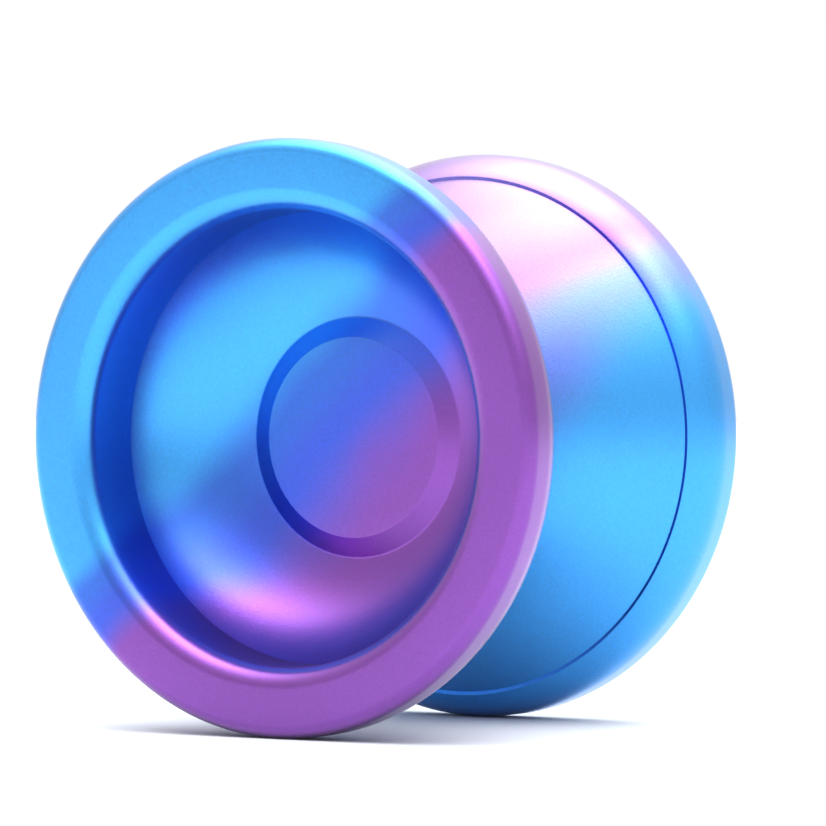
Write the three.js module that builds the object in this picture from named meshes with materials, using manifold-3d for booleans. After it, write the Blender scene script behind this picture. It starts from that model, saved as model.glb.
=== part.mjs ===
// A metal unresponsive yo-yo: two turned aluminium halves screwed onto one set-screw axle,
// with a shielded ten-ball bearing (the 6.35 x 12.7 x 4.76 mm size) and two silicone pads
// between them. Millimetres, +Z up. The axle lies along Y and the origin is the yo-yo's centre.
// "height" below always means the distance from the mid-plane between the halves.
import * as THREE from 'three';
import { mergeVertices } from 'three/addons/utils/BufferGeometryUtils.js';
import Module from 'manifold-3d';

// ---- driving dimensions ----
const OUTER_RADIUS = 28;
const FACE_HEIGHT = 20.1;

// rim of a half
const RIM_FILLET = 1.35;
const SHOULDER_HEIGHT = 17.2;
const SHOULDER_RADIAL = 5.56;
const SHOULDER_AXIAL = 4.7;

// fine step where the string wall meets the rim shoulder, which stands proud of the wall
const STEP_HEIGHT = 13.38;
const STEP_WIDTH = 0.32;
const STEP_RISE = 0.12;

// outer cup and hub
const LIP_RADIUS = 23.4;
const LIP_FILLET = 2;
const CREASE = [LIP_RADIUS - LIP_FILLET, 12.6];
const VALLEY = [11.54, 5.45];
const FLOOR_CURVE = 13.5;
const HUB_EDGE = [9.58, 6.27];

// bearing seat, response groove and thread of a half
const WALL_FOOT = [9.75, 2.25];
const WALL_CURVE = 58.5;
const LAND_HEIGHT = 2.15;
const PAD_GROOVE = { inner: 7.15, outer: 9.5, floor: 3.35 };
const SEAT_RADIUS = 6.75;
const SEAT_FLOOR = 2.6;
const RACE_STOP = { radius: 4.05, height: 2.4 };
const POST = { radius: 3.1, end: 0.1 };
const THREAD_HOLE = { radius: 2.08, depth: 5.15 };

// silicone response pad
const PAD = { inner: 7.2, outer: 9.45, front: 2.35, back: 3.3 };

// M4 set screw
const AXLE = { radius: 2, halfLength: 5, chamfer: 0.4 };
const SOCKET = { acrossFlats: 2, depth: 2.2 };

// bearing
const BEARING = { bore: 3.175, outer: 6.35, halfWidth: 2.38, chamfer: 0.15 };
const BALL_COUNT = 10;
const BALL_RADIUS = 0.79375;
const PITCH_RADIUS = (BEARING.bore + BEARING.outer) / 2;
const RACEWAY_RADIUS = BALL_RADIUS + 0.06;
const INNER_LAND = 4.2;
const OUTER_LAND = 5.3;
const CAGE = { inner: 4.4, outer: 5.12, back: -1.3, front: 0.4, pocket: 0.88 };
const SHIELD_SEAT = { radius: 5.8, height: 1.93 };
const SHIELD = { inner: 4.36, outer: 5.7, back: 1.96, front: 2.1 };
const CLIP = { inner: 5.4, outer: 5.72, back: 2.14, thickness: 0.2, gapAngle: 0.5 };

// roundness: facets around each kind of turned piece
const HALF_FACETS = 48;
const SMALL_FACETS = 36;

const wasm = await Module();
wasm.setup();

// ---- materials ----
function metal(color, roughness) {
  return new THREE.MeshStandardMaterial({ color, roughness, metalness: 1 });
}

const anodisedBlue = metal(0x3a8fe6, 0.38);
const anodisedViolet = metal(0x8a55c8, 0.38);
const raceSteel = metal(0xb9bcc0, 0.25);
const ballSteel = metal(0xd6d8db, 0.08);
const cageSteel = metal(0xa9a294, 0.4);
const shieldSteel = metal(0xc6c8ca, 0.3);
const axleSteel = metal(0x3b3b3e, 0.5);
const silicone = new THREE.MeshStandardMaterial({ color: 0xf2f2ee, roughness: 0.7, metalness: 0 });

// ---- geometry helpers ----
function named(geometry, name, material) {
  const mesh = new THREE.Mesh(geometry, material);
  mesh.name = name;
  return mesh;
}

// Revolves [radius, y] corners around Y. The section runs from axis to axis, or it is a ring's
// section and closes on itself. The flats of the polygon, not its corners, touch the true
// radii, and one flat faces each of +Z, -Z, +X and -X.
function revolve(corners, facets) {
  const widen = 1 / Math.cos(Math.PI / facets);
  const section = corners.map(([radius, y]) => new THREE.Vector2(radius * widen, y));
  if (THREE.ShapeUtils.area(section) < 0) section.reverse();
  if (section[0].x > 0) section.push(section[0].clone());
  return new THREE.LatheGeometry(section, facets, Math.PI / facets);
}

// Corners of a circular or elliptical arc in the [radius, height] plane.
function arc(centre, radii, start, end, steps) {
  const corners = [];
  for (let i = 0; i <= steps; i += 1) {
    const angle = THREE.MathUtils.lerp(start, end, i / steps);
    corners.push([centre[0] + radii[0] * Math.cos(angle), centre[1] + radii[1] * Math.sin(angle)]);
  }
  return corners;
}

// Corners of the arc of a given radius from one corner to another. Its centre lies to the left
// of the way from start to end when turn is 1, and to the right when turn is -1.
function arcBetween(start, end, radius, turn, steps) {
  const chord = new THREE.Vector2(end[0] - start[0], end[1] - start[1]);
  const half = chord.length() / 2;
  const offset = Math.sqrt(radius * radius - half * half);
  const toCentre = new THREE.Vector2(-chord.y, chord.x).setLength(turn * offset);
  const centre = [(start[0] + end[0]) / 2 + toCentre.x, (start[1] + end[1]) / 2 + toCentre.y];
  const first = Math.atan2(start[1] - centre[1], start[0] - centre[0]);
  const last = first + turn * 2 * Math.asin(half / radius);
  return arc(centre, [radius, radius], first, last, steps);
}

// Puts corners given as [radius, height] on the front (side -1) or rear (side 1) of the yo-yo.
function onSide(corners, side) {
  return corners.map(([radius, height]) => [radius, side * height]);
}

// Mirrors the corners of the y >= 0 half of a section, to give the whole loop.
function symmetric(corners) {
  const mirrored = corners.map(([radius, y]) => [radius, -y]).reverse();
  return corners.concat(mirrored);
}

function toManifold(geometry) {
  const bare = geometry.clone();
  bare.deleteAttribute('normal');
  bare.deleteAttribute('uv');
  const merged = mergeVertices(bare, 1e-4);
  const vertProperties = new Float32Array(merged.attributes.position.array);
  const triVerts = new Uint32Array(merged.index.array);
  return new wasm.Manifold(new wasm.Mesh({ numProp: 3, vertProperties, triVerts }));
}

function fromManifold(solid) {
  const mesh = solid.getMesh();
  const geometry = new THREE.BufferGeometry();
  geometry.setAttribute('position', new THREE.BufferAttribute(mesh.vertProperties, 3));
  geometry.setIndex(new THREE.BufferAttribute(mesh.triVerts, 1));
  geometry.computeVertexNormals();
  return geometry;
}

// ---- the turned halves ----
// The string side: a gently convex wall out to the fine step, then the domed rim shoulder.
function stringSideCorners() {
  const shoulderCentre = [OUTER_RADIUS - SHOULDER_RADIAL, SHOULDER_HEIGHT];
  const shoulderStart = -Math.asin((SHOULDER_HEIGHT - STEP_HEIGHT) / SHOULDER_AXIAL);
  const shoulder = arc(shoulderCentre, [SHOULDER_RADIAL, SHOULDER_AXIAL], shoulderStart, 0, 6);
  const stepFoot = [shoulder[0][0] - STEP_WIDTH, STEP_HEIGHT + STEP_RISE];
  return [...arcBetween(WALL_FOOT, stepFoot, WALL_CURVE, 1, 5), ...shoulder];
}

// The outside: rim fillet, flat rim face, rounded lip, straight cup wall, dished floor, hub.
function outerSideCorners() {
  const rimCentre = [OUTER_RADIUS - RIM_FILLET, FACE_HEIGHT - RIM_FILLET];
  const lipCentre = [LIP_RADIUS, FACE_HEIGHT - LIP_FILLET];
  const quarter = Math.PI / 2;
  return [
    ...arc(rimCentre, [RIM_FILLET, RIM_FILLET], 0, quarter, 3),
    ...arc(lipCentre, [LIP_FILLET, LIP_FILLET], quarter, 2 * quarter, 4),
    ...arcBetween(CREASE, VALLEY, FLOOR_CURVE, -1, 7),
    HUB_EDGE,
  ];
}

// The inside: blind thread hole, bearing post and stop, seat, and the pad groove.
function seatCorners() {
  return [
    [THREAD_HOLE.radius, THREAD_HOLE.depth],
    [THREAD_HOLE.radius, POST.end],
    [POST.radius, POST.end],
    [POST.radius, RACE_STOP.height],
    [RACE_STOP.radius, RACE_STOP.height],
    [RACE_STOP.radius, SEAT_FLOOR],
    [SEAT_RADIUS, SEAT_FLOOR],
    [SEAT_RADIUS, LAND_HEIGHT],
    [PAD_GROOVE.inner, LAND_HEIGHT],
    [PAD_GROOVE.inner, PAD_GROOVE.floor],
    [PAD_GROOVE.outer, PAD_GROOVE.floor],
    [PAD_GROOVE.outer, WALL_FOOT[1]],
  ];
}

function bodyHalf(name, side, material) {
  const axisTop = [0, HUB_EDGE[1]];
  const axisBottom = [0, THREAD_HOLE.depth];
  const corners = [axisBottom, ...seatCorners(), ...stringSideCorners(), ...outerSideCorners(), axisTop];
  return named(revolve(onSide(corners, side), HALF_FACETS), name, material);
}

function responsePad(name, side) {
  const corners = [
    [PAD.inner, PAD.front],
    [PAD.outer, PAD.front],
    [PAD.outer, PAD.back],
    [PAD.inner, PAD.back],
  ];
  return named(revolve(onSide(corners, side), SMALL_FACETS), name, silicone);
}

// ---- the axle ----
function axle() {
  const { radius, halfLength, chamfer } = AXLE;
  const rod = revolve([
    [0, halfLength],
    [radius - chamfer, halfLength],
    [radius, halfLength - chamfer],
    [radius, chamfer - halfLength],
    [radius - chamfer, -halfLength],
    [0, -halfLength],
  ], SMALL_FACETS);
  const socketRadius = SOCKET.acrossFlats / 2 / Math.cos(Math.PI / 6);
  let solid = toManifold(rod);
  for (const side of [-1, 1]) {
    const key = new THREE.CylinderGeometry(socketRadius, socketRadius, 2 * SOCKET.depth, 6);
    key.translate(0, side * halfLength, 0);
    solid = solid.subtract(toManifold(key));
  }
  return named(fromManifold(solid), 'axle', axleSteel);
}

// ---- the bearing ----
// Half of a raceway's section, from the land's edge to the bottom of the groove.
function racewayCorners(landRadius, direction) {
  const reach = Math.abs(landRadius - PITCH_RADIUS);
  const edgeAngle = Math.acos(reach / RACEWAY_RADIUS);
  const steps = 3;
  const corners = [];
  for (let i = 0; i < steps; i += 1) {
    const angle = THREE.MathUtils.lerp(edgeAngle, 0, i / (steps - 0.5));
    const radius = PITCH_RADIUS + direction * RACEWAY_RADIUS * Math.cos(angle);
    corners.push([radius, RACEWAY_RADIUS * Math.sin(angle)]);
  }
  return corners;
}

function innerRace() {
  const { bore, halfWidth, chamfer } = BEARING;
  const corners = symmetric([
    [bore, halfWidth - chamfer],
    [bore + chamfer, halfWidth],
    [INNER_LAND, halfWidth],
    ...racewayCorners(INNER_LAND, -1),
  ]);
  return named(revolve(corners, SMALL_FACETS), 'bearing_inner_race', raceSteel);
}

function outerRace() {
  const { outer, halfWidth, chamfer } = BEARING;
  const corners = symmetric([
    [outer, halfWidth - chamfer],
    [outer - chamfer, halfWidth],
    [SHIELD_SEAT.radius, halfWidth],
    [SHIELD_SEAT.radius, SHIELD_SEAT.height],
    [OUTER_LAND, SHIELD_SEAT.height],
    ...racewayCorners(OUTER_LAND, 1),
  ]);
  return named(revolve(corners, SMALL_FACETS), 'bearing_outer_race', raceSteel);
}

function ballPlace(index) {
  const angle = (2 * Math.PI * index) / BALL_COUNT;
  return new THREE.Vector3(PITCH_RADIUS * Math.sin(angle), 0, PITCH_RADIUS * Math.cos(angle));
}

function ball(index) {
  const number = String(index + 1).padStart(2, '0');
  const mesh = named(new THREE.SphereGeometry(BALL_RADIUS, 12, 8), `bearing_ball_${number}`, ballSteel);
  mesh.position.copy(ballPlace(index));
  return mesh;
}

// A crown cage: a ring behind the balls with a round pocket for each, open to the front.
function cage() {
  const ring = [
    [CAGE.inner, CAGE.back],
    [CAGE.outer, CAGE.back],
    [CAGE.outer, CAGE.front],
    [CAGE.inner, CAGE.front],
  ];
  let solid = toManifold(revolve(ring, 4 * BALL_COUNT));
  for (let i = 0; i < BALL_COUNT; i += 1) {
    const pocket = new THREE.SphereGeometry(CAGE.pocket, 12, 6);
    pocket.translate(...ballPlace(i).toArray());
    solid = solid.subtract(toManifold(pocket));
  }
  return named(fromManifold(solid), 'bearing_cage', cageSteel);
}

function shield(name, side) {
  const corners = [
    [SHIELD.inner, SHIELD.back],
    [SHIELD.outer, SHIELD.back],
    [SHIELD.outer, SHIELD.front],
    [SHIELD.inner, SHIELD.front],
  ];
  return named(revolve(onSide(corners, side), SMALL_FACETS), name, shieldSteel);
}

// The open spring ring that holds a shield in the outer race.
function shieldClip(name, side) {
  const start = CLIP.gapAngle / 2;
  const end = 2 * Math.PI - start;
  const outline = new THREE.Shape();
  outline.absarc(0, 0, CLIP.outer, start, end, false);
  outline.absarc(0, 0, CLIP.inner, end, start, true);
  const options = { depth: CLIP.thickness, bevelEnabled: false, curveSegments: 20 };
  const geometry = new THREE.ExtrudeGeometry(outline, options);
  geometry.rotateX(Math.PI / 2);
  const mesh = named(geometry, name, shieldSteel);
  mesh.position.y = side > 0 ? CLIP.back + CLIP.thickness : -CLIP.back;
  return mesh;
}

// ---- assembly ----
function bearing() {
  const group = new THREE.Group();
  group.add(innerRace(), outerRace(), cage());
  for (let i = 0; i < BALL_COUNT; i += 1) group.add(ball(i));
  group.add(shield('front_shield', -1), shield('rear_shield', 1));
  group.add(shieldClip('front_shield_clip', -1), shieldClip('rear_shield_clip', 1));
  return group;
}

const yoyo = new THREE.Group();
yoyo.add(bodyHalf('front_half', -1, anodisedViolet), bodyHalf('rear_half', 1, anodisedBlue));
yoyo.add(responsePad('front_response_pad', -1), responsePad('rear_response_pad', 1));
yoyo.add(axle(), bearing());

export default yoyo;
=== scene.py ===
"""A metal yo-yo in a blue to violet anodised fade, standing on its two rims.

The CAD frame gives the places, bodies and overall size. Each piece is turned, swept or cut here
at a fine resolution and rides on the body of the CAD node that it stands for. Lengths in the
section tables are millimetres: radius from the axle, and height from the mid-plane.
"""

import math

import bmesh
import bpy
from mathutils import Matrix, Vector


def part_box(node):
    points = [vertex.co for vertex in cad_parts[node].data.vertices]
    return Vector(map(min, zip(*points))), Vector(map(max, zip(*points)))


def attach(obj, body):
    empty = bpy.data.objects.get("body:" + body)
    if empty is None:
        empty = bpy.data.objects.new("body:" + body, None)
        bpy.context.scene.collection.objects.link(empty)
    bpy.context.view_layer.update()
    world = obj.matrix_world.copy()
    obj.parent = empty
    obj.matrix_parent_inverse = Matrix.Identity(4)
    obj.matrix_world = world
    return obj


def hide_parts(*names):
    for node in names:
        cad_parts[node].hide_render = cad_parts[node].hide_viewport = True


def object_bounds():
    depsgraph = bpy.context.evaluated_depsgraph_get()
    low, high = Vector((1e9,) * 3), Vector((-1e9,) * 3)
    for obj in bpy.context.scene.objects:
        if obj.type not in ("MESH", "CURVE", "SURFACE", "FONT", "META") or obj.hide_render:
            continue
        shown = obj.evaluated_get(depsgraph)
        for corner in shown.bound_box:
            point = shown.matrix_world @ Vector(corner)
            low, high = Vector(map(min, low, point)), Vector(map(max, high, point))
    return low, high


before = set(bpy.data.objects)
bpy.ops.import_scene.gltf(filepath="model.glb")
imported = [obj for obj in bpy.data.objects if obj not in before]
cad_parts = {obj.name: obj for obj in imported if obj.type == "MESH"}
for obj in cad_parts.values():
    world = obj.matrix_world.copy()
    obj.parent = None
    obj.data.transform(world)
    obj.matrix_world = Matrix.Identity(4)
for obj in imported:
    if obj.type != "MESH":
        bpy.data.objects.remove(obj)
cad_low, cad_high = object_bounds()

MM = 0.001
OUTER_RADIUS = (cad_high.x - cad_low.x) / 2 / MM
FACE_HEIGHT = cad_high.y / MM
# Points round a turned piece: for the halves, and for the small parts.
FINE = 256
SMALL = 128
# Edges that turn by more than this are shaded as sharp.
SHARP_DEGREES = 32

# ---------------------------------------------------------------- outlines


def arc(centre, radii, start, end, steps):
    """Points of a circular or elliptical arc. Angles are in radians."""
    points = []
    for i in range(steps + 1):
        a = start + (end - start) * i / steps
        points.append((centre[0] + radii[0] * math.cos(a), centre[1] + radii[1] * math.sin(a)))
    return points


def arc_between(start, end, radius, turn, steps):
    """Arc from start to end. Its centre is to the left of the way for turn 1, to the right for -1."""
    a, b = Vector(start), Vector(end)
    chord = b - a
    half = chord.length / 2
    offset = math.sqrt(radius**2 - half**2)
    centre = (a + b) / 2 + Vector((-chord.y, chord.x)).normalized() * turn * offset
    first = math.atan2(a.y - centre.y, a.x - centre.x)
    last = first + turn * 2 * math.asin(half / radius)
    return arc(centre, (radius, radius), first, last, steps)


def eased(corners, steps=5):
    """Rounds a line of corners (radius, height, fillet). A fillet of 0 keeps the corner.

    The first and last corners are kept, so a closed outline starts and ends inside a straight edge.
    """
    points = []
    for i, (x, y, fillet) in enumerate(corners):
        here = Vector((x, y))
        if fillet == 0 or i in (0, len(corners) - 1):
            points.append((x, y))
            continue
        back = (Vector(corners[i - 1][:2]) - here).normalized()
        onward = (Vector(corners[i + 1][:2]) - here).normalized()
        half = back.angle(onward) / 2
        reach = fillet / math.tan(half)
        centre = here + (back + onward).normalized() * fillet / math.sin(half)
        first = here + back * reach - centre
        last = here + onward * reach - centre
        start = math.atan2(first.y, first.x)
        sweep = math.atan2(first.x * last.y - first.y * last.x, first.dot(last))
        points += arc(centre, (fillet, fillet), start, start + sweep, steps)
    return points


def half_circle(radius, steps):
    """From pole to pole round the origin, with both poles exactly on the axis."""
    points = arc((0, 0), (radius, radius), -math.pi / 2, math.pi / 2, steps)
    points[0] = (0, -radius)
    points[-1] = (0, radius)
    return points


def mirrored(points):
    """The points, given for heights above 0, followed by their mirror images below 0."""
    return points + [(r, -h) for r, h in reversed(points)]


# ---------------------------------------------------------------- meshes


def piece_from(name, verts, faces, sharp_degrees=SHARP_DEGREES):
    """A smooth-shaded mesh object with its faces turned outwards."""
    mesh = bpy.data.meshes.new(name)
    mesh.from_pydata(verts, [], faces)
    work = bmesh.new()
    work.from_mesh(mesh)
    bmesh.ops.remove_doubles(work, verts=work.verts, dist=1e-7)
    bmesh.ops.recalc_face_normals(work, faces=work.faces)
    work.to_mesh(mesh)
    work.free()
    mesh.shade_smooth()
    mesh.set_sharp_from_angle(angle=math.radians(sharp_degrees))
    piece = bpy.data.objects.new(name, mesh)
    bpy.context.scene.collection.objects.link(piece)
    return piece


def turned(name, outline, side=1, segments=FINE):
    """Revolves an outline round the axle's axis. An outline off the axis closes on itself."""
    closed = outline[0][0] > 0
    verts, rings = [], []
    for radius, height in outline:
        y = side * height * MM
        if radius == 0:
            rings.append([len(verts)] * segments)
            verts.append((0, y, 0))
            continue
        rings.append(list(range(len(verts), len(verts) + segments)))
        for k in range(segments):
            a = 2 * math.pi * k / segments
            verts.append((radius * MM * math.sin(a), y, radius * MM * math.cos(a)))
    faces = []
    for i in range(len(rings) - (0 if closed else 1)):
        inner, outer = rings[i], rings[(i + 1) % len(rings)]
        for k in range(segments):
            n = (k + 1) % segments
            corners = [inner[k], inner[n], outer[n], outer[k]]
            faces.append(list(dict.fromkeys(corners)))
    return piece_from(name, verts, faces)


def tube_faces(rows, around):
    """Faces of a tube of rows + 1 rings of points, with one face across each end."""
    faces = []
    for i in range(rows):
        here, onward = i * around, (i + 1) * around
        for k in range(around):
            n = (k + 1) % around
            faces.append([here + k, here + n, onward + n, onward + k])
    faces.append(list(range(around)))
    faces.append(list(range(rows * around, (rows + 1) * around)))
    return faces


def cut(piece, tools):
    """Cuts each tool's shape out of the piece, and removes the tools."""
    for tool in tools:
        modifier = piece.modifiers.new("cut", "BOOLEAN")
        modifier.operation = "DIFFERENCE"
        modifier.solver = "EXACT"
        modifier.object = tool
        with bpy.context.temp_override(object=piece, active_object=piece):
            bpy.ops.object.modifier_apply(modifier=modifier.name)
        bpy.data.objects.remove(tool)
    piece.data.shade_smooth()
    piece.data.set_sharp_from_angle(angle=math.radians(SHARP_DEGREES))
    return piece


def stand_for(piece, node, body, material):
    """The piece takes the CAD node's place, rides on its body and gets a material."""
    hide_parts(node)
    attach(piece, body)
    piece.data.materials.clear()
    piece.data.materials.append(material)


# ---------------------------------------------------------------- node helpers


class Nodes:
    """A short way to write a node tree."""

    def __init__(self, tree):
        self.tree = tree
        tree.nodes.clear()

    def add(self, kind, **settings):
        node = self.tree.nodes.new(kind)
        for key, value in settings.items():
            setattr(node, key, value)
        return node

    def feed(self, socket, value):
        """Links an output to the socket, or sets the socket's own value."""
        if isinstance(value, bpy.types.NodeSocket):
            self.tree.links.new(value, socket)
        else:
            socket.default_value = value

    def math(self, operation, *values):
        node = self.add("ShaderNodeMath", operation=operation)
        for socket, value in zip(node.inputs, values):
            self.feed(socket, value)
        return node.outputs[0]

    def vector(self, operation, *values):
        node = self.add("ShaderNodeVectorMath", operation=operation)
        for socket, value in zip(node.inputs, values):
            self.feed(socket, value)
        return node.outputs["Value" if operation == "DOT_PRODUCT" else "Vector"]

    def noise(self, coordinates, scale, detail=2.0, roughness=0.5):
        node = self.add("ShaderNodeTexNoise")
        self.feed(node.inputs["Vector"], coordinates)
        self.feed(node.inputs["Scale"], scale)
        self.feed(node.inputs["Detail"], detail)
        self.feed(node.inputs["Roughness"], roughness)
        return node.outputs["Fac"]

    def spread(self, value, low, high):
        """Turns a 0 to 1 value into low to high."""
        node = self.add("ShaderNodeMapRange")
        for key, number in (("Value", value), ("To Min", low), ("To Max", high)):
            self.feed(node.inputs[key], number)
        return node.outputs["Result"]

    def shaded(self, colour, shade, share=1.0):
        """The colour multiplied by a shade, as far as the share says."""
        node = self.add("ShaderNodeMix", data_type="RGBA", blend_type="MULTIPLY")
        for key, value in (("Factor", share), ("A", colour), ("B", shade)):
            self.feed(node.inputs[key], value)
        return node.outputs["Result"]

    def ramp(self, value, stops):
        node = self.add("ShaderNodeValToRGB")
        node.color_ramp.interpolation = "EASE"
        elements = node.color_ramp.elements
        while len(elements) < len(stops):
            elements.new(1.0)
        for element, (position, colour) in zip(elements, stops):
            element.position = position
            element.color = (*colour, 1)
        self.feed(node.inputs["Fac"], value)
        return node.outputs["Color"]

    def bump(self, height, strength, distance):
        node = self.add("ShaderNodeBump")
        self.feed(node.inputs["Strength"], strength)
        self.feed(node.inputs["Distance"], distance)
        self.feed(node.inputs["Height"], height)
        return node.outputs["Normal"]

    def surface(self, **inputs):
        """The Principled shader and the output."""
        shader = self.add("ShaderNodeBsdfPrincipled")
        for key, value in inputs.items():
            self.feed(shader.inputs[key.replace("_", " ")], value)
        output = self.add("ShaderNodeOutputMaterial")
        self.feed(output.inputs["Surface"], shader.outputs[0])


def new_material(name):
    """An empty material, its nodes, and the place on the object in metres."""
    material = bpy.data.materials.new(name)
    material.use_nodes = True
    nodes = Nodes(material.node_tree)
    place = nodes.add("ShaderNodeTexCoord").outputs["Object"]
    return material, nodes, place


# ---------------------------------------------------------------- materials

SKY_BLUE = (0.012, 0.325, 0.82)
# Partly the blue of the fade, partly painted shade: this darker blue lands deep in the cup near the
# hub.
DEEP_SKY_WITH_PAINTED_SHADE = (0.0, 0.105, 0.60)
ROYAL_BLUE = (0.012, 0.065, 0.60)
VIOLET = (0.195, 0.028, 0.35)
PERIWINKLE = (0.10, 0.18, 0.70)
SOFT_VIOLET = (0.22, 0.075, 0.46)
# Partly lilac dye, partly a painted highlight: these paler lilacs brighten the upper part of the rear
# half.
LILAC_WITH_PAINTED_HIGHLIGHT = (0.24, 0.105, 0.45)
PAINTED_HIGHLIGHT_LILAC = (0.30, 0.175, 0.49)

# Each fade as (place in mm along the fade, counted from the centre of the yo-yo, colour).
FRONT_DYE_AND_SHADE = [(-7.0, SKY_BLUE), (-3.5, DEEP_SKY_WITH_PAINTED_SHADE), (0.0, ROYAL_BLUE), (4.8, VIOLET)]
# The rear's last two stops paint a highlight on its upper part.
REAR_DYE_AND_HIGHLIGHT = [
    (-6.5, SKY_BLUE),
    (-1.5, PERIWINKLE),
    (3.5, SOFT_VIOLET),
    (9.0, LILAC_WITH_PAINTED_HIGHLIGHT),
    (15.5, PAINTED_HIGHLIGHT_LILAC),
]
# The fade's rate at the mid-plane, as a share of its rate at the outer face: painted shade deep in
# the cup.
PAINTED_RECESS_SHADE = 0.37


def anodised(name, direction, dye_and_painted_light):
    """Bead-blasted aluminium under dyed oxide. Its colours change along a direction.

    The fade is wider near the mid-plane, which paints darker shade deep in the cup and in the gap.
    """
    warp_scale, blotch_scale, satin_scale, grain_scale = 70, 90, 700, 5200
    warp_reach, grain_depth = 8 * MM, 0.06 * MM
    material, nodes, place = new_material(name)
    split = nodes.add("ShaderNodeSeparateXYZ")
    nodes.feed(split.inputs[0], place)
    height = nodes.math("ABSOLUTE", split.outputs["Y"])
    # Painted shade: near the mid-plane the fade is squeezed towards its darker middle colours.
    recess_shade_squeeze = nodes.spread(nodes.math("DIVIDE", height, FACE_HEIGHT * MM), PAINTED_RECESS_SHADE, 1.0)
    warp = nodes.math("SUBTRACT", nodes.noise(place, warp_scale, 1.0), 0.5)
    warp = nodes.math("MULTIPLY", warp, warp_reach)
    along = nodes.vector("DOT_PRODUCT", place, direction)
    along = nodes.math("MULTIPLY", nodes.math("ADD", along, warp), recess_shade_squeeze)
    first, last = dye_and_painted_light[0][0], dye_and_painted_light[-1][0]
    share = nodes.math("DIVIDE", nodes.math("SUBTRACT", along, first * MM), (last - first) * MM)
    fade = nodes.ramp(share, [((at - first) / (last - first), colour) for at, colour in dye_and_painted_light])
    blotch = nodes.noise(place, blotch_scale, 3.0)
    blotch = nodes.ramp(blotch, [(0.3, (0.86,) * 3), (0.7, (1.0,) * 3)])
    grain = nodes.noise(place, grain_scale, 2.0, 0.6)
    mottled = nodes.shaded(fade, blotch, 0.35)
    nodes.surface(
        Base_Color=nodes.shaded(mottled, nodes.spread(grain, 0.72, 1.2)),
        Metallic=1.0,
        Roughness=nodes.spread(nodes.noise(place, satin_scale, 2.0), 0.27, 0.33),
        Normal=nodes.bump(grain, 0.25, grain_depth),
        Coat_Weight=1.0,
        Coat_Roughness=0.3,
        Coat_IOR=1.58,
    )
    return material


def steel(name, colour, roughness, grain_scale, lines=0.0):
    """Bare steel with fine grinding marks round the axle when lines is above 0."""
    material, nodes, place = new_material(name)
    marks_place, marks_scale = place, grain_scale
    if lines > 0:
        split = nodes.add("ShaderNodeSeparateXYZ")
        nodes.feed(split.inputs[0], place)
        squares = [nodes.math("MULTIPLY", split.outputs[k], split.outputs[k]) for k in "XZ"]
        radius = nodes.math("SQRT", nodes.math("ADD", *squares))
        joined = nodes.add("ShaderNodeCombineXYZ")
        nodes.feed(joined.inputs["X"], radius)
        nodes.feed(joined.inputs["Y"], split.outputs["Y"])
        marks_place, marks_scale = joined.outputs[0], lines
    marks = nodes.noise(marks_place, marks_scale, 3.0)
    shade = nodes.spread(nodes.noise(place, grain_scale / 4, 2.0), 0.85, 1.1)
    nodes.surface(
        Base_Color=nodes.shaded((*colour, 1), shade),
        Metallic=1.0,
        Roughness=nodes.spread(marks, roughness * 0.8, roughness * 1.3),
        Normal=nodes.bump(marks, 0.15, 0.02 * MM),
    )
    return material


def silicone_rubber():
    """Milky silicone with a soft grain."""
    material, nodes, place = new_material("silicone")
    grain = nodes.noise(place, 2600, 3.0)
    cloud = nodes.noise(place, 300, 2.0)
    nodes.surface(
        Base_Color=nodes.ramp(cloud, [(0.3, (0.80, 0.80, 0.77)), (0.7, (0.88, 0.88, 0.86))]),
        Roughness=nodes.spread(grain, 0.42, 0.6),
        Normal=nodes.bump(grain, 0.2, 0.03 * MM),
        Subsurface_Weight=0.3,
        Subsurface_Scale=1 * MM,
        IOR=1.42,
    )
    return material


FRONT_FADE = anodised("anodised_front", (0.707, -0.12, -0.707), FRONT_DYE_AND_SHADE)
REAR_FADE = anodised("anodised_rear", (-0.62, 0, 0.79), REAR_DYE_AND_HIGHLIGHT)
RACE_STEEL = steel("race_steel", (0.62, 0.63, 0.65), 0.22, 3000, lines=9000)
BALL_STEEL = steel("ball_steel", (0.78, 0.79, 0.80), 0.06, 2500)
CAGE_STEEL = steel("cage_steel", (0.50, 0.46, 0.38), 0.4, 4000)
SHIELD_STEEL = steel("shield_steel", (0.66, 0.67, 0.68), 0.28, 3000, lines=5000)
AXLE_STEEL = steel("axle_steel", (0.09, 0.09, 0.095), 0.45, 3500)
SILICONE = silicone_rubber()

# ---------------------------------------------------------------- the halves

# Outer side: where the flat face ends, and the corners down into the cup, as (radius, height).
LIP_RADIUS, LIP_FILLET = 23.4, 2.0
CREASE = (LIP_RADIUS - LIP_FILLET, 12.6)
VALLEY = (11.54, 5.45)
HUB_EDGE = (9.58, 6.27)
# String side: where its wall starts, beside the response pad.
WALL_FOOT = (9.75, 2.25)
# Radii of the string side's convex wall and of the cup's concave floor.
WALL_CURVE = 58.5
FLOOR_CURVE = 13.5


def inside_outline():
    """From the blind end of the thread hole, round the post, seat and pad groove."""
    return eased([
        (0, 5.15, 0),
        (2.08, 5.15, 0),
        (2.08, 0.1, 0.15),
        (3.1, 0.1, 0.2),
        (3.1, 2.4, 0.08),
        (4.05, 2.4, 0.06),
        (4.05, 2.6, 0.06),
        (6.75, 2.6, 0.1),
        (6.75, 2.15, 0.12),
        (7.15, 2.15, 0.12),
        (7.15, 3.35, 0.12),
        (9.5, 3.35, 0.12),
        (9.5, WALL_FOOT[1], 0.1),
        (*WALL_FOOT, 0),
    ])


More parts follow.
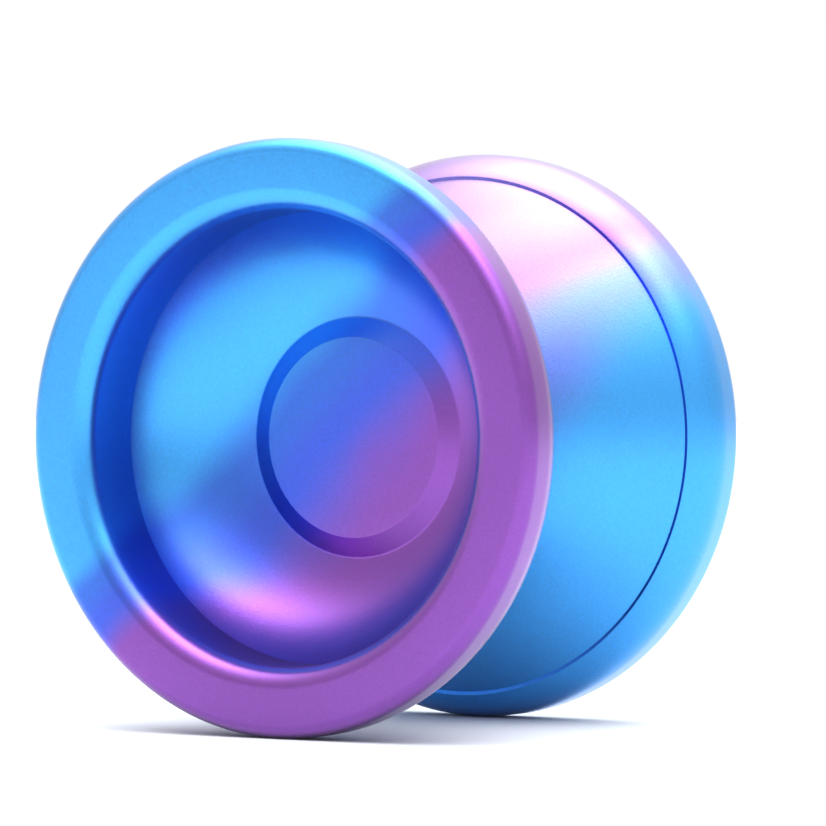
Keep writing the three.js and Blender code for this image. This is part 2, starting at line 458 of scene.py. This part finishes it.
def string_side_outline():
    """The gently convex wall, the fine step, and the domed shoulder of the rim."""
    shoulder_height, radial, axial = 17.2, 5.56, 4.7
    step_height, step_width, step_rise = 13.38, 0.32, 0.12
    centre = (OUTER_RADIUS - radial, shoulder_height)
    start = -math.asin((shoulder_height - step_height) / axial)
    shoulder = arc(centre, (radial, axial), start, 0, 24)
    step_top = shoulder[0]
    step_foot = (step_top[0] - step_width, step_height + step_rise)
    wall = arc_between(WALL_FOOT, step_foot, WALL_CURVE, 1, 40)
    step = eased([
        (*wall[-2], 0),
        (*step_foot, 0.06),
        (*step_top, 0.05),
        (*shoulder[1], 0),
    ], steps=4)
    return wall[1:-1] + step[1:-1] + shoulder[1:]


def outer_side_outline():
    """The rim fillet, flat face, rounded lip, cylindrical wall, dished floor and hub.

    A ring of points on the hub keeps its flat face flat where the shading is smoothed.
    """
    rim_fillet, flat_ring = 1.35, HUB_EDGE[0] - 2
    rim_centre = (OUTER_RADIUS - rim_fillet, FACE_HEIGHT - rim_fillet)
    lip_centre = (LIP_RADIUS, FACE_HEIGHT - LIP_FILLET)
    rim = arc(rim_centre, (rim_fillet, rim_fillet), 0, math.pi / 2, 16)
    lip = arc(lip_centre, (LIP_FILLET, LIP_FILLET), math.pi / 2, math.pi, 20)
    dish = arc_between(CREASE, VALLEY, FLOOR_CURVE, -1, 32)
    crease = eased([(*lip[-1], 0), (*CREASE, 0.12), (*dish[1], 0)], steps=3)
    hub = eased([
        (*dish[-2], 0),
        (*VALLEY, 0.5),
        (*HUB_EDGE, 0.35),
        (flat_ring, HUB_EDGE[1], 0),
    ], steps=6)
    return rim + lip + crease[1:-1] + dish[1:-2] + hub + [(0, HUB_EDGE[1])]


HALF_OUTLINE = inside_outline() + string_side_outline() + outer_side_outline()

for name, side, body, fade in (
    ("front_half", -1, "front_half_assembly", FRONT_FADE),
    ("rear_half", 1, "rear_half_assembly", REAR_FADE),
):
    half = turned("turned_" + name, HALF_OUTLINE, side)
    stand_for(half, name, body, fade)

# ---------------------------------------------------------------- response pads


def response_pad(node, side, body):
    """A silicone ring in its groove, recessed a little from the string side's wall."""
    outline = eased([
        (8.3, 2.35, 0),
        (9.45, 2.35, 0.18),
        (9.45, 3.3, 0.1),
        (7.2, 3.3, 0.1),
        (7.2, 2.35, 0.18),
        (8.29, 2.35, 0),
    ])
    pad = turned("moulded_" + node, outline, side, SMALL)
    stand_for(pad, node, body, SILICONE)


response_pad("front_response_pad", -1, "front_half_assembly")
response_pad("rear_response_pad", 1, "rear_half_assembly")

# ---------------------------------------------------------------- the axle


def set_screw():
    """An M4 x 0.7 set screw: a helical thread, chamfered ends and two hex sockets."""
    major, depth, pitch, half_length, chamfer = 2.0, 0.38, 0.7, 5.0, 0.45
    root_share, flank_share = 0.12, 0.76
    rows_each_turn, around = 14, 72
    rows = int(2 * half_length / pitch * rows_each_turn)
    verts = []
    for i in range(rows + 1):
        y = -half_length + 2 * half_length * i / rows
        cone = major - chamfer + min(half_length - abs(y), chamfer)
        for k in range(around):
            turn = k / around
            wave = abs(((y / pitch - turn) % 1.0) * 2 - 1)
            crest = min(max((wave - root_share) / flank_share, 0), 1)
            r = min(major - depth * (1 - crest), cone)
            a = 2 * math.pi * turn
            verts.append((r * MM * math.sin(a), y * MM, r * MM * math.cos(a)))
    screw = piece_from("threaded_axle", verts, tube_faces(rows, around))
    flats, socket_depth, drill_point, clearance = 2.0, 2.2, 0.5, 1
    corner = flats / 2 / math.cos(math.pi / 6)
    bottom, mouth = half_length - socket_depth, half_length + clearance
    outline = [(0, bottom - drill_point), (corner, bottom), (corner, mouth), (0, mouth)]
    sockets = [turned("socket", outline, side, 6) for side in (-1, 1)]
    return cut(screw, sockets)


stand_for(set_screw(), "axle", "front_half_assembly", AXLE_STEEL)

# ---------------------------------------------------------------- the bearing

# Radii of the bore and of the outside, and half the width.
BORE, OUTSIDE, HALF_WIDTH = 3.175, 6.35, 2.38
PITCH_RADIUS = (BORE + OUTSIDE) / 2
BALL_NUMBERS = range(1, 11)
BALL_RADIUS = 0.79375
RACEWAY_RADIUS = BALL_RADIUS + 0.03


def raceway(land, direction):
    """Half of a raceway's groove, from the land down to its bottom at height 0.

    It stops half a step short of the bottom, where its mirror image goes on.
    """
    edge = math.acos(abs(land - PITCH_RADIUS) / RACEWAY_RADIUS)
    steps = 9
    last = edge * 0.5 / (steps - 0.5)
    return arc((PITCH_RADIUS, 0), (direction * RACEWAY_RADIUS, RACEWAY_RADIUS), edge, last, steps - 1)


def inner_race():
    land = 4.2
    rim = eased([
        (BORE, 1.0, 0),
        (BORE, HALF_WIDTH, 0.18),
        (land, HALF_WIDTH, 0.1),
        (land, 1.0, 0),
    ])
    race = turned("ground_inner_race", mirrored(rim + raceway(land, -1)), 1, SMALL)
    stand_for(race, "bearing_inner_race", "bearing_core", RACE_STEEL)


def outer_race():
    land = 5.3
    rim = eased([
        (OUTSIDE, 1.0, 0),
        (OUTSIDE, HALF_WIDTH, 0.2),
        (5.8, HALF_WIDTH, 0.06),
        (5.8, 1.93, 0.04),
        (land, 1.93, 0.06),
        (land, 1.0, 0),
    ])
    race = turned("ground_outer_race", mirrored(rim + raceway(land, 1)), 1, SMALL)
    stand_for(race, "bearing_outer_race", "bearing_rim", RACE_STEEL)


def node_centre(node):
    """The middle of a CAD node's box."""
    lowest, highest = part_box(node)
    return (lowest + highest) / 2


def ball(number):
    node = f"bearing_ball_{number:02d}"
    sphere = turned(f"polished_ball_{number:02d}", half_circle(BALL_RADIUS, 24), 1, 48)
    sphere.location = node_centre(node)
    stand_for(sphere, node, f"ball_{number:02d}", BALL_STEEL)


def cage():
    """A crown cage: one ring with a round pocket for each ball, open to one side."""
    pocket_radius = 0.88
    outline = eased([
        (4.75, -1.3, 0),
        (5.12, -1.3, 0.1),
        (5.12, 0.4, 0.1),
        (4.4, 0.4, 0.1),
        (4.4, -1.3, 0.1),
        (4.74, -1.3, 0),
    ])
    crown = turned("crown_cage", outline, 1, 160)
    pockets = []
    for number in BALL_NUMBERS:
        pocket = turned("pocket", half_circle(pocket_radius, 20), 1, 40)
        pocket.data.transform(Matrix.Translation(node_centre(f"bearing_ball_{number:02d}")))
        pockets.append(pocket)
    stand_for(cut(crown, pockets), "bearing_cage", "ball_cage", CAGE_STEEL)


def shield(node, side):
    """A pressed washer with a shallow step and a rolled inner edge."""
    outline = eased([
        (5.05, 2.1, 0),
        (4.95, 2.02, 0.08),
        (4.55, 2.02, 0.06),
        (4.45, 2.1, 0.04),
        (4.36, 2.1, 0.03),
        (4.36, 1.98, 0.03),
        (4.5, 1.9, 0.06),
        (4.95, 1.9, 0.06),
        (5.1, 1.97, 0.06),
        (5.7, 1.97, 0.03),
        (5.7, 2.1, 0.03),
        (5.06, 2.1, 0),
    ], steps=3)
    washer = turned("pressed_" + node, outline, side, SMALL)
    stand_for(washer, node, "bearing_rim", SHIELD_STEEL)


def shield_clip(node, side):
    """The open spring ring that holds a shield: a round wire bent to a C."""
    wire, radius, height, gap = 0.1, 5.58, 2.24, 0.5
    around, along, clip_sharp_degrees = 12, 120, 50
    verts = []
    for i in range(along + 1):
        a = gap / 2 + (2 * math.pi - gap) * i / along
        for k in range(around):
            b = 2 * math.pi * k / around
            r = radius + wire * math.cos(b)
            y = side * height + wire * math.sin(b)
            verts.append((r * MM * math.cos(a), y * MM, r * MM * math.sin(a)))
    clip = piece_from("sprung_" + node, verts, tube_faces(along, around), clip_sharp_degrees)
    stand_for(clip, node, "bearing_rim", SHIELD_STEEL)


inner_race()
outer_race()
for ball_number in BALL_NUMBERS:
    ball(ball_number)
cage()
for end, end_side in (("front", -1), ("rear", 1)):
    shield(end + "_shield", end_side)
    shield_clip(end + "_shield_clip", end_side)

# ---------------------------------------------------------------- floor, light and camera


def floor():
    """A wide white sweep under the rims."""
    mesh = bpy.data.meshes.new("paper_floor")
    reach, level = 4.0, cad_low.z
    corners = [(-reach, -reach), (reach, -reach), (reach, reach), (-reach, reach)]
    mesh.from_pydata([(x, y, level) for x, y in corners], [], [(0, 1, 2, 3)])
    ground = bpy.data.objects.new("paper_floor", mesh)
    bpy.context.scene.collection.objects.link(ground)
    material, nodes, place = new_material("paper")
    fibre = nodes.noise(place, 900, 4.0)
    nodes.surface(
        Base_Color=(0.54, 0.565, 0.59, 1),
        Roughness=0.9,
        Normal=nodes.bump(fibre, 0.1, 0.1 * MM),
    )
    mesh.materials.append(material)


# (azimuth, elevation, sharpness, strength) of each soft light, in degrees round the object.
# Azimuth 0 is in front (-Y) and 90 is to the right (+X).
SOFT_LIGHTS = [
    (52, 66, 12.0, 5.2),
    (166, 68, 10.0, 5.4),
    (-37, 72, 12.0, 4.4),
]
# The even light from all round, and the white that the camera sees behind the object.
BASE_LIGHT = 0.94
BACKDROP = 1.0


def sky():
    """Soft lights as smooth lobes of the world's light, before a plain white backdrop."""
    world = bpy.data.worlds.new("studio")
    bpy.context.scene.world = world
    world.use_nodes = True
    nodes = Nodes(world.node_tree)
    direction = nodes.add("ShaderNodeTexCoord").outputs["Generated"]
    total = BASE_LIGHT
    for azimuth, elevation, sharpness, strength in SOFT_LIGHTS:
        a, e = math.radians(azimuth), math.radians(elevation)
        towards = (math.sin(a) * math.cos(e), -math.cos(a) * math.cos(e), math.sin(e))
        facing = nodes.vector("DOT_PRODUCT", direction, towards)
        falloff = nodes.math("MULTIPLY", nodes.math("SUBTRACT", facing, 1.0), sharpness)
        lobe = nodes.math("MULTIPLY", nodes.math("EXPONENT", falloff), strength)
        total = nodes.math("ADD", lobe, total)
    light = nodes.add("ShaderNodeBackground")
    plain = nodes.add("ShaderNodeBackground")
    for node, strength in ((light, total), (plain, BACKDROP)):
        nodes.feed(node.inputs["Color"], (1, 1, 1, 1))
        nodes.feed(node.inputs["Strength"], strength)
    choose = nodes.add("ShaderNodeMixShader")
    seen = nodes.add("ShaderNodeLightPath").outputs["Is Camera Ray"]
    for socket, value in zip(choose.inputs, (seen, light.outputs[0], plain.outputs[0])):
        nodes.feed(socket, value)
    output = nodes.add("ShaderNodeOutputWorld")
    nodes.feed(output.inputs["Surface"], choose.outputs[0])


def camera():
    """A long lens, almost level, 32 degrees round to the right of the front."""
    azimuth, elevation, distance = math.radians(32.2), math.radians(0.55), 0.4524
    aim_right, aim_up = 2.48 * MM, 2.3 * MM
    back = Vector((
        math.sin(azimuth) * math.cos(elevation),
        -math.cos(azimuth) * math.cos(elevation),
        math.sin(elevation),
    ))
    right = Vector((math.cos(azimuth), math.sin(azimuth), 0))
    aim = right * aim_right + Vector((0, 0, aim_up))
    data = bpy.data.cameras.new("camera")
    data.lens = 204.0
    data.sensor_width = 36
    data.clip_end = 20
    view = bpy.data.objects.new("camera", data)
    view.location = back * distance
    view.rotation_euler = (aim - view.location).to_track_quat("-Z", "Y").to_euler()
    bpy.context.scene.collection.objects.link(view)
    bpy.context.scene.camera = view


floor()
sky()
camera()
bpy.context.scene.view_settings.view_transform = "Standard"

bpy.context.view_layer.update()
